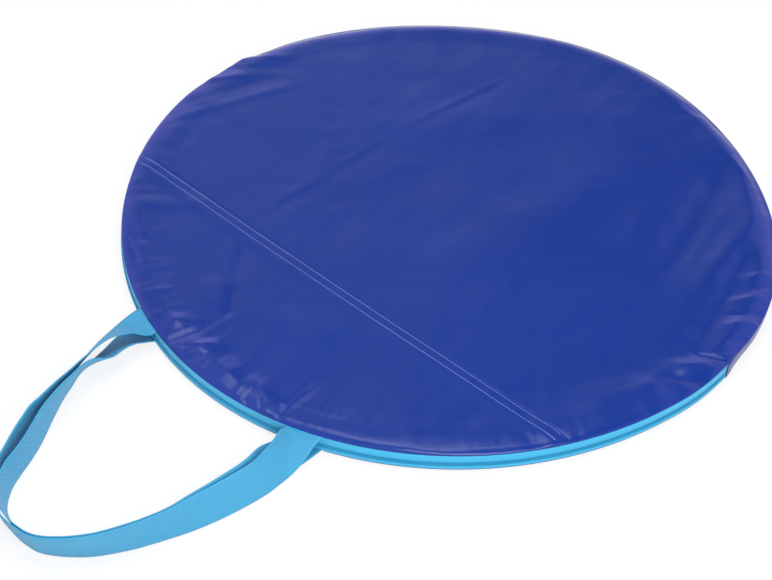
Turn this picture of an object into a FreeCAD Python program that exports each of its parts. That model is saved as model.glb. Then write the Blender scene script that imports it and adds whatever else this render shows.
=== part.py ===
import FreeCAD, Part
import math
import os
import re

# A roundnet set, zipped into its flat round carry bag.
# +Z is up, the origin is the middle of the bag's base on the floor, and the two carry
# handles leave the rim towards -Y. Millimetres and degrees.

doc = FreeCAD.newDocument("roundnet_set")
sheet = doc.addObject("Spreadsheet::Sheet", "Sizes")

SIZES = [
    ("rim_radius", 470, "bag: outside of the zip tapes"),
    ("seam_height", 28, "bag: height of the seam round the top panel"),
    ("crown_height", 34, "bag: height of the top panel inside its sloping edge"),
    ("slope_width", 28, "bag: width of the sloping edge of the top panel"),
    ("cloth", 1, "bag: coated cloth with its lining"),
    ("gap", 0.3, "clearance between neighbouring pieces"),
    ("seam_gap", 0.1, "clearance between layers that are sewn together"),
    ("seam_offset", 234, "bag: middle to the seam across the top panel"),
    ("seam_lap", 14, "bag: width of the folded seam allowance"),
    ("seam_margin", 6, "bag: end of that seam to the sloping edge"),
    ("stitch_pitch", 12, "bag: between the two rows of stitches"),
    ("thread", 0.6, "bag: stitching thread"),
    ("fold_offset", 12, "bag: fold line of the lid, behind the middle"),
    ("binding_width", 4, "bag: width of the binding inside the rim seams"),
    ("binding_height", 1.9, "bag: height of that binding"),
    ("wall_inset", 0.4, "bag: back wall in from the outside of the zip tapes"),
    ("tape", 1, "zip: thickness of a tape"),
    ("zip_half_angle", 94, "zip: from the middle of the front to each end"),
    ("zip_middle", 11.7, "zip: height of the line where the coils meet"),
    ("coil_width", 2.6, "zip: each coil, up and down"),
    ("coil_depth", 2.2, "zip: each coil, out from the tape"),
    ("tab_angle", 1.6, "zip: cloth tab over each end"),
    ("slider_angle", 1.6, "zip: length of the slider, as an angle"),
    ("slider_wall", 1.4, "zip: walls of the slider"),
    ("plate", 1, "zip: plate of the slider behind the tapes"),
    ("stop_angle", 0.3, "zip: slider to the end of its travel, as an angle"),
    ("pull_length", 30, "zip: pull tab from its eye to its end"),
    ("pull_thickness", 1.4, "zip: pull tab"),
    ("pull_pin", 0.8, "zip: radius of the pin that the pull tab swings on"),
    ("pull_fit", 0.08, "zip: radial clearance of the pull tab's eye"),
    ("pull_rim", 0.9, "zip: wall of the pull tab's eye"),
    ("webbing_width", 50, "handles: width of the webbing"),
    ("webbing", 1.6, "handles: thickness of the webbing"),
    ("feet_angle", 18.1, "handles: from the middle of the front to each foot"),
    ("feet_shift", 4, "handles: middle of the feet to the right of the bag's"),
    ("hinge_inset", 10, "handles: line where they bend, in from the outside of the zip tapes"),
    ("handle_reach", 341, "handles: from that line to the far end of the outer loop"),
    ("floor_gap", 1.2, "handles: between their lower edge and the floor"),
    ("ring_inset", 23, "ring: middle of its tube, in from the outside of the zip tapes"),
    ("ring_tube", 12.5, "ring: radius of its tube"),
    ("ring_wall", 1.5, "ring: wall of its tube"),
    ("ring_parts", 5, "ring: tubes, and sleeves that join them"),
    ("ring_angle", 18, "ring: angle of the first sleeve"),
    ("tube_gap_angle", 0.5, "ring: between two tubes in a sleeve, as an angle"),
    ("sleeve", 14.3, "ring: outside radius of a sleeve"),
    ("sleeve_angle", 8, "ring: length of a sleeve, as an angle"),
    ("fit", 0.15, "radial clearance of a push fit"),
    ("socket_wall", 2.6, "legs: wall of the socket on each sleeve"),
    ("socket_depth", 21, "legs: depth of the socket"),
    ("socket_floor", 3, "legs: closed end of the socket"),
    ("leg_radius", 9, "legs: outside radius of the tube"),
    ("leg_wall", 1.5, "legs: wall of the tube"),
    ("leg_length", 185, "legs: length of the tube"),
    ("leg_pitch", 25, "legs: between two legs as they are stored"),
    ("leg_row", -62, "legs: place of the first stored leg, front to back"),
    ("leg_side", -236, "legs: place of the lower ends, side to side"),
    ("foot_radius", 11.4, "legs: radius of the rubber foot and of the collar"),
    ("foot_length", 24, "legs: length of the rubber foot"),
    ("foot_end", 4, "legs: closed end of the rubber foot"),
    ("collar_length", 8, "legs: collar that stops at the socket"),
    ("net_height", 25.2, "net: height of its underside in the bag"),
    ("net_cord", 1.6, "net: thickness of its two layers of cords"),
    ("net_cord_width", 3, "net: width of its cords"),
    ("net_pitch", 52, "net: between its cords"),
    ("hook_reach", 23.2, "net: from the ring's tube to the border tape"),
    ("border_width", 13, "net: width of the border tape"),
    ("hook_count", 40, "net: hooks that hold the border to the ring"),
    ("hook_width", 8, "net: width of a hook"),
    ("hook_wall", 2.2, "net: thickness of a hook"),
    ("hook_angle", 150, "net: how far a hook goes round the tube"),
    ("hook_clear_angle", 3, "net: from a sleeve to the next hook, as an angle"),
    ("ball_radius", 54, "balls: radius of each, let down and pressed flat"),
    ("ball_half_height", 10.5, "balls: half their height, pressed flat"),
    ("ball_dent", 5, "balls: depth of the dent on top"),
    ("ball_gap", 8, "balls: between two of them"),
    ("ball_side", 24, "balls: place of the first, side to side"),
    ("ball_row", -104, "balls: place of the first, front to back"),
    ("pump_radius", 10.8, "pump: outside radius of the barrel"),
    ("pump_wall", 1.5, "pump: wall of the barrel"),
    ("pump_length", 130, "pump: length of the barrel"),
    ("pump_row", -292, "pump: place in the bag, front to back"),
    ("pump_side", -150, "pump: place of the barrel's closed end, side to side"),
    ("nozzle_radius", 4, "pump: outside radius of the nozzle"),
    ("nozzle_bore", 1.6, "pump: radius of the air hole in the nozzle"),
    ("nozzle_length", 14, "pump: length of the nozzle"),
    ("cap_length", 6, "pump: length of the cap"),
    ("rod_radius", 3, "pump: radius of the rod"),
    ("rod_reach", 12, "pump: rod between the cap and the hand grip"),
    ("piston_length", 10, "pump: length of the piston"),
    ("grip_radius", 6, "pump: radius of the hand grip"),
    ("grip_length", 44, "pump: length of the hand grip"),
    ("stroke", 90, "pump: travel of the plunger"),
    ("needle_radius", 1.2, "pump: radius of the loose needle"),
    ("needle_length", 32, "pump: length of the loose needle"),
]
for row, (alias, value, meaning) in enumerate(SIZES, 1):
    sheet.set("A%d" % row, meaning)
    sheet.set("B%d" % row, str(value))
    sheet.setAlias("B%d" % row, alias)
doc.recompute()

ALIASES = re.compile(r"\b(%s)\b" % "|".join(alias for alias, value, meaning in SIZES))
OVER = 2
nodes = {}


def from_sheet(expression):
    """Writes an expression of sizes the way the document refers to the sheet's cells."""
    return ALIASES.sub(r"Sizes.\1", str(expression))


def size(expression):
    return float(sheet.evalExpression(from_sheet(expression)))


def bind(item, **sizes):
    """Ties properties to expressions of the sheet's sizes. A double underscore is a dot."""
    for name, expression in sizes.items():
        path = name.replace("__", ".")
        if path.startswith("Placement"):
            path = "." + path
        item.setExpression(path, from_sheet(expression))
    return item


def turned(item, angle):
    """Turns an object about the upright axis through its base."""
    return bind(item, Placement__Rotation__Angle="(%s) * 1 deg" % angle)


def cylinder(name, radius, height, low=0, sweep=360, turn=0, x=0, y=0):
    """An upright cylinder, or a sector of one that starts at the angle turn."""
    item = doc.addObject("Part::Cylinder", name)
    bind(item, Radius=radius, Height=height, Angle=sweep, Placement__Base__x=x,
         Placement__Base__y=y, Placement__Base__z=low)
    return turned(item, turn)


def rod(name, radius, length, x, y, z):
    """A cylinder that lies along X and starts at x."""
    item = doc.addObject("Part::Cylinder", name)
    item.Placement.Rotation = FreeCAD.Rotation(FreeCAD.Vector(0, 1, 0), 90)
    return bind(item, Radius=radius, Height=length, Placement__Base__x=x,
                Placement__Base__y=y, Placement__Base__z=z)


def block(name, length, width, height, x, y, z):
    """A box, given by its sizes along X, Y and Z and its lowest corner."""
    item = doc.addObject("Part::Box", name)
    return bind(item, Length=length, Width=width, Height=height, Placement__Base__x=x,
                Placement__Base__y=y, Placement__Base__z=z)


def torus(name, tube, sweep=360):
    """A ring on the net ring's circle, or a sector of one."""
    item = doc.addObject("Part::Torus", name)
    return bind(item, Radius1=RING_RADIUS, Radius2=tube, Angle3=sweep, Placement__Base__z=RING_HEIGHT)


def cut(name, base, tool):
    item = doc.addObject("Part::Cut", name)
    item.Base = base
    item.Tool = tool
    return item


def common(name, first, second):
    item = doc.addObject("Part::Common", name)
    item.Base = first
    item.Tool = second
    return item


def fuse(name, *parts):
    item = doc.addObject("Part::MultiFuse", name)
    item.Shapes = list(parts)
    return item


def group(name, parts):
    """Separate solids that are one node."""
    item = doc.addObject("Part::Compound", name)
    item.Links = list(parts)
    return node(name, item)


def feature(name, shape):
    item = doc.addObject("Part::Feature", name)
    item.Shape = shape
    return node(name, item)


def node(name, item):
    """Names a finished sub-part."""
    item.Label = name
    nodes[name] = item
    return item


def band(name, inner, outer, low, high, turn=0, sweep=360):
    """A wall that goes round the bag's middle, from the angle turn over sweep degrees."""
    wall = cylinder(name + "_wall", outer, "(%s) - (%s)" % (high, low), low, sweep, turn)
    hole = cylinder(name + "_hole", inner, "(%s) - (%s) + %d" % (high, low, 2 * OVER),
                    "(%s) - %d" % (low, OVER))
    return cut(name + "_band", wall, hole)


def strip(name, low_y, high_y):
    """A box over the whole bag between two lines across it, used to divide pieces."""
    reach = "(rim_radius + coil_depth + %d)" % OVER
    low, high = (reach if edge is None else edge for edge in (low_y, high_y))
    if low_y is None:
        low = "-" + reach
    return block(name, "2 * " + reach, "(%s) - (%s)" % (high, low), "2 * crown_height", "-" + reach, low, 0)


# Heights of the layers in the rim, where the zip starts and how far it goes round, the line where
# the handles bend, and the circles of the ring and of the net inside it.
LOW_BINDING = "cloth + seam_gap"
LOW_TAPE = "cloth + binding_height + 2 * seam_gap"
HIGH_TAPE = "seam_height - binding_height - 2 * seam_gap"
HIGH_BINDING = "seam_height - binding_height - seam_gap"
ZIP_START = "270 - zip_half_angle"
ZIP_SWEEP = "2 * zip_half_angle"
COIL_INSIDE = "rim_radius + seam_gap"
COIL_OUTSIDE = "rim_radius + seam_gap + coil_depth"
UPPER_COIL = ("zip_middle + gap / 2", "zip_middle + gap / 2 + coil_width")
LOWER_COIL = ("zip_middle - gap / 2 - coil_width", "zip_middle - gap / 2")
BAG_INSIDE = "cloth + gap"
HINGE_LINE = "(hinge_inset - rim_radius)"
RING_HEIGHT = BAG_INSIDE + " + sleeve"
RING_RADIUS = "(rim_radius - ring_inset)"
BORDER_RADIUS = "(%s - ring_tube - hook_reach)" % RING_RADIUS
NET_RADIUS = "(%s - border_width - gap)" % BORDER_RADIUS


def top_panel(name, low_y, high_y):
    """The top panel between two lines across it: flat, with an edge that slopes to the rim seam."""
    cones = []
    for place, low in (("outside", "seam_height"), ("inside", "seam_height - cloth")):
        cone = doc.addObject("Part::Cone", "%s_%s" % (name, place))
        bind(cone, Radius1="rim_radius", Radius2="rim_radius - slope_width",
             Height="crown_height - seam_height", Placement__Base__z=low)
        cones.append(cone)
    shell = cut(name + "_shell", *cones)
    node(name, common(name, shell, strip(name + "_side", low_y, high_y)))


def in_front(name, item):
    """What lies in front of the fold line, and lifts with the lid."""
    return common(name, item, strip(name + "_side", None, "fold_offset - gap / 2"))


def behind(name, item):
    """What lies behind the fold line, and stays with the base."""
    return common(name, item, strip(name + "_side", "fold_offset + gap / 2", None))


def foot_middle(sign):
    """Where the middle of a handle's foot is, side to side."""
    return "(%d * rim_radius * sin(feet_angle * 1 deg) + feet_shift)" % sign


def foot_rooms(name, low):
    """The two places round the rim where the feet of a handle are sewn in."""
    rooms = []
    for side, sign in (("left", -1), ("right", 1)):
        rooms.append(block("%s_%s" % (name, side), "webbing_width + 2 * gap", "rim_radius / 4",
                           "binding_height + %d" % OVER, foot_middle(sign) + " - webbing_width / 2 - gap",
                           "-rim_radius - %d" % OVER, "%s - %g" % (low, OVER / 2)))
    return fuse(name, *rooms)


def binding(name, low):
    ring = band(name, "rim_radius - binding_width", "rim_radius", low, low + " + binding_height")
    return cut(name + "_open", ring, foot_rooms(name + "_feet", low))


def make_bag():
    """Base panel, back wall, the three pieces of the top panel, its seam and the bindings."""
    node("base_panel", cylinder("base_panel", "rim_radius - wall_inset", "cloth"))
    node("back_wall", band("back_wall", "rim_radius - wall_inset - cloth", "rim_radius - wall_inset",
                           LOW_TAPE, HIGH_TAPE, "zip_half_angle - 90", "360 - 2 * zip_half_angle"))
    top_panel("rear_top_panel", "fold_offset + gap / 2", None)
    top_panel("middle_top_panel", "-seam_offset + gap / 2", "fold_offset - gap / 2")
    top_panel("front_top_panel", None, "-seam_offset - gap / 2")
    half = "sqrt((rim_radius - slope_width - seam_margin)^2 - (seam_offset + seam_lap)^2)"
    node("seam_allowance", block("seam_allowance", "2 * " + half, "seam_lap", "cloth", "-" + half,
                                 "-seam_offset - seam_lap / 2", "crown_height - 2 * cloth - seam_gap"))
    rows = []
    for place, sign in (("front", -1), ("back", 1)):
        rows.append(block("stitches_" + place, "2 * " + half, "thread", "thread", "-" + half,
                          "-seam_offset + %d * stitch_pitch / 2 - thread / 2" % sign,
                          "crown_height + seam_gap / 2"))
    group("seam_stitches", rows)
    node("base_binding", binding("base_binding", LOW_BINDING))
    node("lid_binding", in_front("lid_binding", binding("lid_edge", HIGH_BINDING)))
    node("back_binding", behind("back_binding", binding("back_edge", HIGH_BINDING)))


def make_zip():
    """Both tapes with their coils. The upper ones end at the fold line, where short ends go on."""
    for name, inner, outer, low, high in (
            ("zip_tape", "rim_radius - tape", "rim_radius", UPPER_COIL[0] + " + coil_width / 2", HIGH_TAPE),
            ("zip_coil", COIL_INSIDE, COIL_OUTSIDE, *UPPER_COIL)):
        for whole, divide in (("upper_" + name, in_front), ("upper_%s_ends" % name, behind)):
            wall = band(whole, inner, outer, low, high, ZIP_START, ZIP_SWEEP)
            node(whole, divide(whole, wall))
    node("lower_zip_tape", band("lower_zip_tape", "rim_radius - tape", "rim_radius", LOW_TAPE,
                                LOWER_COIL[0] + " + coil_width / 2", ZIP_START, ZIP_SWEEP))
    node("lower_zip_coil", band("lower_zip_coil", COIL_INSIDE, COIL_OUTSIDE, *LOWER_COIL,
                                ZIP_START, ZIP_SWEEP))
    tabs = (("closed_end_tab", ZIP_START + " - tab_angle"), ("open_end_tab", "zip_half_angle - 90"))
    for name, turn in tabs:
        node(name, band(name, COIL_INSIDE, COIL_INSIDE + " + cloth", LOW_TAPE, HIGH_TAPE, turn, "tab_angle"))


def make_slider():
    """The slider, parked at the closed end, its plate behind the tapes, and the pull tab."""
    turn = ZIP_START + " + stop_angle"
    middle = "(%s + slider_angle / 2)" % turn
    outside = "(%s + gap + slider_wall)" % COIL_OUTSIDE
    room = "(coil_width + 3 * gap / 2)"
    low = "zip_middle - %s - slider_wall" % room
    high = "zip_middle + %s + slider_wall" % room
    body = band("slider_block", COIL_INSIDE + " + gap", outside, low, high, turn, "slider_angle")
    channel = band("slider_channel", "rim_radius - tape", COIL_OUTSIDE + " + gap",
                   "zip_middle - " + room, "zip_middle + " + room)
    reach = "(%s + gap + pull_rim + pull_fit + pull_pin)" % outside
    pin_x = "%s * cos(%s * 1 deg)" % (reach, middle)
    pin_y = "%s * sin(%s * 1 deg)" % (reach, middle)
    lugs = []
    for place, height in (("low", low), ("high", "zip_middle + " + room)):
        lugs.append(band("lug_" + place, outside + " - gap", reach + " + pull_pin + gap", height,
                         height + " + slider_wall", turn + " + slider_angle / 4", "slider_angle / 2"))
    pin = cylinder("slider_pin", "pull_pin", "(%s) - (%s) - gap" % (high, low), low + " + gap / 2",
                   x=pin_x, y=pin_y)
    node("zip_slider", fuse("zip_slider", cut("slider_shell", body, channel), pin, *lugs))
    node("slider_plate", band("slider_plate", "rim_radius - tape - gap - plate", "rim_radius - tape - gap",
                              low, high, turn, "slider_angle"))
    foot = "zip_middle - coil_width"
    eye = cylinder("pull_eye", "pull_pin + pull_fit + pull_rim", "2 * coil_width", foot, x=pin_x, y=pin_y)
    inner = "(%s - pull_thickness / 2)" % reach
    blade = block("pull_blade", "pull_length", "pull_thickness", "2 * coil_width",
                  "%s * cos(%s * 1 deg)" % (inner, middle), "%s * sin(%s * 1 deg)" % (inner, middle), foot)
    turned(blade, middle + " - 90")
    hole = cylinder("pull_hole", "pull_pin + pull_fit", "2 * coil_width + %d" % (2 * OVER),
                    "%s - %d" % (foot, OVER), x=pin_x, y=pin_y)
    node("pull_tab", cut("pull_tab", fuse("pull_solid", eye, blade), hole))


# The outer handle's loop, which is sewn into the top seam, from its right foot to its left one.
# Each row gives the lower edge of the webbing: its place to the right, its distance out from
# the line where the handle bends, its height as a share of the foot's, and the webbing's lean,
# 0 flat and 90 on edge. The webbing leaves each foot flat and stands on its outer edge.
OUTER_LOOP = [
    (175, 0, 1, 0), (177, 18, 0.72, 22), (178, 45, 0.28, 48), (177, 82, 0, 63), (169, 133, 0, 68),
    (157, 178, 0, 75), (143, 214, 0, 86), (122, 259, 0, 94), (93, 302, 0, 101), (54, 334, 0, 107),
    (24, 341, 0, 108), (-8, 339, 0, 107), (-32, 334, 0, 103), (-50, 321, 0, 98), (-66, 301, 0, 95),
    (-79, 279, 0, 94), (-90, 255, 0, 95), (-99, 234, 0, 96), (-110, 214, 0, 93), (-120, 193, 0, 85),
    (-138, 157, 0, 73), (-149, 129, 0, 66), (-160, 103, 0, 59), (-168, 80, 0.04, 54),
    (-172, 52, 0.28, 44), (-170, 25, 0.66, 28), (-167, 0, 1, 0),
]
# The inner handle's loop, which is sewn into the bottom seam and lies inside the outer one.
INNER_LOOP = [
    (175, 0, 1, 0), (174, 26, 1, 0), (172, 52, 1, 16), (170, 84, 0, 46), (164, 131, 0, 66),
    (152, 176, 0, 77), (138, 212, 0, 89), (117, 256, 0, 97), (89, 297, 0, 104), (52, 328, 0, 110),
    (24, 335, 0, 111), (-6, 333, 0, 108), (-28, 326, 0, 102), (-43, 314, 0, 97), (-57, 295, 0, 94),
    (-67, 273, 0, 92), (-76, 250, 0, 92), (-86, 228, 0, 93), (-97, 208, 0, 92), (-109, 188, 0, 86),
    (-128, 154, 0, 75), (-140, 127, 0, 68), (-150, 105, 0, 55), (-156, 82, 0, 39),
    (-161, 54, 1, 18), (-165, 27, 1, 0), (-167, 0, 1, 0),
]
LOOP_HALF_WIDTH, LOOP_SHIFT, LOOP_REACH = 171, 4, 341


def ruled_solid(sections):
    """A solid through cross-sections, each a list of corners, with walls ruled between them."""
    faces = [Part.Face(Part.makePolygon(ends + ends[:1])) for ends in (sections[0], sections[-1])]
    for here, there in zip(sections, sections[1:]):
        for corner in range(len(here)):
            rails = [Part.makeLine(points[corner - 1], points[corner]) for points in (here, there)]
            faces.append(Part.makeRuledSurface(*rails))
    return Part.Solid(Part.Shell(faces))


def webbing_loop(name, stations, foot_height):
    """A loop of webbing through its stations."""
    width, half = size("webbing_width"), size("webbing") / 2
    floor = size("floor_gap") + half
    middle = size("rim_radius * sin(feet_angle * 1 deg)")
    spread = middle + width / 2 - LOOP_HALF_WIDTH
    edges = []
    for side, out, share, lean in stations:
        nearness = max(-1, min(1, side / LOOP_HALF_WIDTH))
        edges.append(FreeCAD.Vector(side + spread * nearness + size("feet_shift") - LOOP_SHIFT,
                                    size(HINGE_LINE) - out * size("handle_reach") / LOOP_REACH,
                                    floor + share * (foot_height - floor)))
    last = len(edges) - 1
    sections = []
    for index, (side, out, share, lean) in enumerate(stations):
        along = edges[min(index + 1, last)] - edges[max(index - 1, 0)]
        if index in (0, last):
            along = FreeCAD.Vector(0, -1 if index == 0 else 1, 0)
        along.z = 0
        along.normalize()
        inward = FreeCAD.Vector(along.y, -along.x, 0)
        angle = math.radians(lean)
        up = FreeCAD.Vector(0, 0, 1)
        across = inward * math.cos(angle) + up * math.sin(angle)
        face = up * math.cos(angle) - inward * math.sin(angle)
        near, far = edges[index], edges[index] + across * width
        sections.append([near - face * half, far - face * half, far + face * half, near + face * half])
    feature(name, ruled_solid(sections))


def make_handles():
    """Two webbing handles: feet sewn into the top and the bottom seam, and a loop on each."""
    binding_middle = size("binding_height") / 2
    top = size("seam_height") - size("seam_gap") - binding_middle
    bottom = size("cloth") + size("seam_gap") + binding_middle
    for name, stations, height, low in (("outer_handle", OUTER_LOOP, top, HIGH_BINDING),
                                        ("inner_handle", INNER_LOOP, bottom, LOW_BINDING)):
        webbing_loop(name + "_loop", stations, height)
        feet = []
        for side, sign in (("left", -1), ("right", 1)):
            part = "%s_%s" % (name, side)
            foot = block(part + "_webbing", "webbing_width", "rim_radius / 4", "webbing",
                         foot_middle(sign) + " - webbing_width / 2", HINGE_LINE + " + seam_gap",
                         low + " + (binding_height - webbing) / 2")
            inside = cylinder(part + "_inside", "rim_radius - binding_width", "2 * seam_height",
                              "-seam_height / 2")
            feet.append(cut(part + "_foot", foot, inside))
        group(name + "_feet", feet)


def make_ring():
    """The ring that keeps the bag round: curved tubes, and sleeves with a socket for a leg."""
    for index in range(int(size("ring_parts"))):
        place = "ring_angle + %d * 360 / ring_parts" % index
        name = "ring_tube_%d" % (index + 1)
        tube = torus(name + "_solid", "ring_tube", "360 / ring_parts - tube_gap_angle")
        bored = cut(name, tube, torus(name + "_bore", "ring_tube - ring_wall"))
        node(name, turned(bored, place + " + tube_gap_angle / 2"))
        name = "ring_sleeve_%d" % (index + 1)
        sleeve = turned(torus(name + "_solid", "sleeve", "sleeve_angle"), "-sleeve_angle / 2")
        reach = RING_RADIUS + " - ring_tube - leg_radius - 2 * fit - gap"
        low = BAG_INSIDE + " + gap"
        socket = cylinder(name + "_socket", "leg_radius + fit + socket_wall", "socket_depth + socket_floor",
                          low, x=reach)
        hole = cylinder(name + "_hole", "leg_radius + fit", "socket_depth + %d" % OVER,
                        "%s - %d" % (low, OVER), x=reach)
        body = cut(name + "_body", fuse(name + "_outside", sleeve, socket), hole)
        node(name, turned(cut(name, body, torus(name + "_bore", "ring_tube + fit")), place))


def make_legs():
    """The legs as they are stored, side by side under the net, with a collar and a rubber foot."""
    height = BAG_INSIDE + " + foot_radius"
    for index in range(int(size("ring_parts"))):
        row = "leg_row - %d * leg_pitch" % index
        name = "leg_%d" % (index + 1)
        tube = rod(name + "_tube", "leg_radius", "leg_length", "leg_side", row, height)
        collar = rod(name + "_collar", "foot_radius", "collar_length",
                     "leg_side + leg_length - socket_depth - collar_length", row, height)
        bore = rod(name + "_bore", "leg_radius - leg_wall", "leg_length + %d" % (2 * OVER),
                   "leg_side - %d" % OVER, row, height)
        node(name, cut(name, fuse(name + "_outside", tube, collar), bore))
        name = "leg_foot_%d" % (index + 1)
        foot = rod(name + "_outside", "foot_radius", "foot_length", "leg_side - foot_end", row, height)
        seat = rod(name + "_seat", "leg_radius + fit / 3", "foot_length", "leg_side - fit / 3", row, height)
        node(name, cut(name, foot, seat))


def make_net():
    """The net's cords in two crossing layers, with the tape that is sewn round their ends."""
    radius, pitch = size(NET_RADIUS), size("net_pitch")
    width, height = size("net_cord_width"), (size("net_cord") - size("seam_gap")) / 2
    round_edge = Part.makeCylinder(radius, size("net_cord"), FreeCAD.Vector(0, 0, size("net_height")))
    steps = int((radius - width) / pitch)
    cords = []
    for line in range(-steps, steps + 1):
        start = FreeCAD.Vector(-radius, line * pitch - width / 2, size("net_height"))
        lower = Part.makeBox(2 * radius, width, height, start)
        upper = lower.copy()
        upper.rotate(FreeCAD.Vector(), FreeCAD.Vector(0, 0, 1), 90)
        upper.translate(FreeCAD.Vector(0, 0, height + size("seam_gap")))
        cords += [lower.common(round_edge).Solids[0], upper.common(round_edge).Solids[0]]
    feature("net", Part.makeCompound(cords))
    print("net cords", len(cords))
    node("net_border", band("net_border", NET_RADIUS + " + gap", BORDER_RADIUS, "net_height",
                            "net_height + net_cord"))


def make_hooks():
    """The hooks that hold the border to the ring: an arm, and a claw over the ring's tube."""
    arm = block("hook_arm", "hook_reach + ring_tube / 4 - gap", "hook_width", "net_cord",
                BORDER_RADIUS + " + gap", "-hook_width / 2", "net_height")
    claw = doc.addObject("Part::Cylinder", "hook_claw")
    claw.Placement.Rotation = FreeCAD.Rotation(FreeCAD.Vector(1, 0, 0), 90)
    bind(claw, Radius="ring_tube + gap + hook_wall", Height="hook_width", Angle="hook_angle",
         Placement__Base__x=RING_RADIUS, Placement__Base__y="hook_width / 2",
         Placement__Base__z=RING_HEIGHT)
    hook = cut("hook", fuse("hook_outside", arm, claw), torus("hook_bore", "ring_tube + gap"))
    doc.recompute()
    parts = int(size("ring_parts"))
    each = int(size("hook_count")) // parts
    start = size("ring_angle") + size("sleeve_angle") / 2 + size("hook_clear_angle")
    free = 360 / parts - size("sleeve_angle") - 2 * size("hook_clear_angle")
    copies = []
    for index in range(parts):
        for step in range(each):
            copy = hook.Shape.copy()
            angle = start + index * 360 / parts + step * free / (each - 1)
            copy.rotate(FreeCAD.Vector(), FreeCAD.Vector(0, 0, 1), angle)
            copies.append(copy)
    feature("net_hooks", Part.makeCompound(copies))


def make_balls():
    """Three balls, let down and pressed flat, each with a dent where the rubber folds in."""
    pitch = "(2 * ball_radius + ball_gap)"
    height = BAG_INSIDE + " + ball_half_height"
    places = [("ball_side", "ball_row"), ("ball_side + " + pitch, "ball_row"),
              ("ball_side + %s / 2" % pitch, "ball_row - %s * sqrt(3) / 2" % pitch)]
    for index, (x, y) in enumerate(places):
        name = "ball_%d" % (index + 1)
        ball = doc.addObject("Part::Ellipsoid", name + "_outside")
        bind(ball, Radius1="ball_half_height", Radius2="ball_radius", Radius3="ball_radius",
             Placement__Base__x=x, Placement__Base__y=y, Placement__Base__z=height)
        dent = doc.addObject("Part::Sphere", name + "_dent")
        bind(dent, Radius="ball_radius", Placement__Base__x=x, Placement__Base__y=y,
             Placement__Base__z=height + " + ball_half_height + ball_radius - ball_dent")
        node(name, cut(name, ball, dent))


def make_pump():
    """The hand pump: barrel with nozzle, cap, plunger with its hand grip, and a loose needle."""
    height = BAG_INSIDE + " + pump_radius"

    def along(name, radius, length, start, z=height):
        return rod(name, radius, length, start, "pump_row", z)

    barrel = along("barrel_outside", "pump_radius", "pump_length", "pump_side")
    nozzle = along("barrel_nozzle", "nozzle_radius", "nozzle_length + pump_wall", "pump_side - nozzle_length")
    room = along("barrel_room", "pump_radius - pump_wall", "pump_length", "pump_side + 2 * pump_wall")
    air = along("barrel_air", "nozzle_bore", "nozzle_length + 3 * pump_wall",
                "pump_side - nozzle_length - pump_wall / 2")
    body = cut("barrel_body", fuse("barrel_solid", barrel, nozzle), room)
    node("pump_barrel", cut("pump_barrel", body, air))
    end = "pump_side + pump_length"
    cap = along("cap_outside", "pump_radius", "cap_length", end + " + gap")
    node("pump_cap", cut("pump_cap", cap, along("cap_hole", "rod_radius + fit", "2 * cap_length", end)))
    start = "pump_side + 3 * pump_wall"
    piston = along("piston", "pump_radius - pump_wall - fit", "piston_length", start)
    grip_middle = "(%s + gap + cap_length + rod_reach + grip_radius)" % end
    shaft = along("plunger_rod", "rod_radius", "%s - (%s)" % (grip_middle, start), start)
    node("pump_plunger", fuse("pump_plunger", piston, shaft))
    grip = doc.addObject("Part::Cylinder", "grip_outside")
    grip.Placement.Rotation = FreeCAD.Rotation(FreeCAD.Vector(1, 0, 0), -90)
    bind(grip, Radius="grip_radius", Height="grip_length", Placement__Base__x=grip_middle,
         Placement__Base__y="pump_row - grip_length / 2", Placement__Base__z=height)
    seat = along("grip_seat", "rod_radius + fit / 3", "2 * grip_radius + fit / 3",
                 grip_middle + " - 2 * grip_radius")
    node("pump_grip", cut("pump_grip", grip, seat))
    needle_start = grip_middle + " + grip_radius + stroke + needle_length"
    node("pump_needle", along("pump_needle", "needle_radius", "needle_length", needle_start,
                              BAG_INSIDE + " + needle_radius"))


def check(item):
    """Stops when a sub-part holds no valid solid."""
    assert not item.Shape.isNull() and item.Shape.isValid(), item.Label
    assert item.Shape.Solids and item.Shape.Volume > 0, item.Label


make_bag()
make_zip()
make_slider()
make_handles()
make_ring()
make_legs()
make_net()
make_hooks()
make_balls()
make_pump()
doc.recompute()
for item in doc.Objects:
    assert not {"Invalid", "Error"} & set(item.State), "%s: %s" % (item.Label, item.State)
os.makedirs("parts", exist_ok=True)
for name, item in nodes.items():
    check(item)
    item.Shape.exportStep(os.path.join("parts", name + ".step"))
print(len(nodes), "nodes")
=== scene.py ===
import math

import bmesh
import bpy
from mathutils import Matrix, Vector, noise


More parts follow.
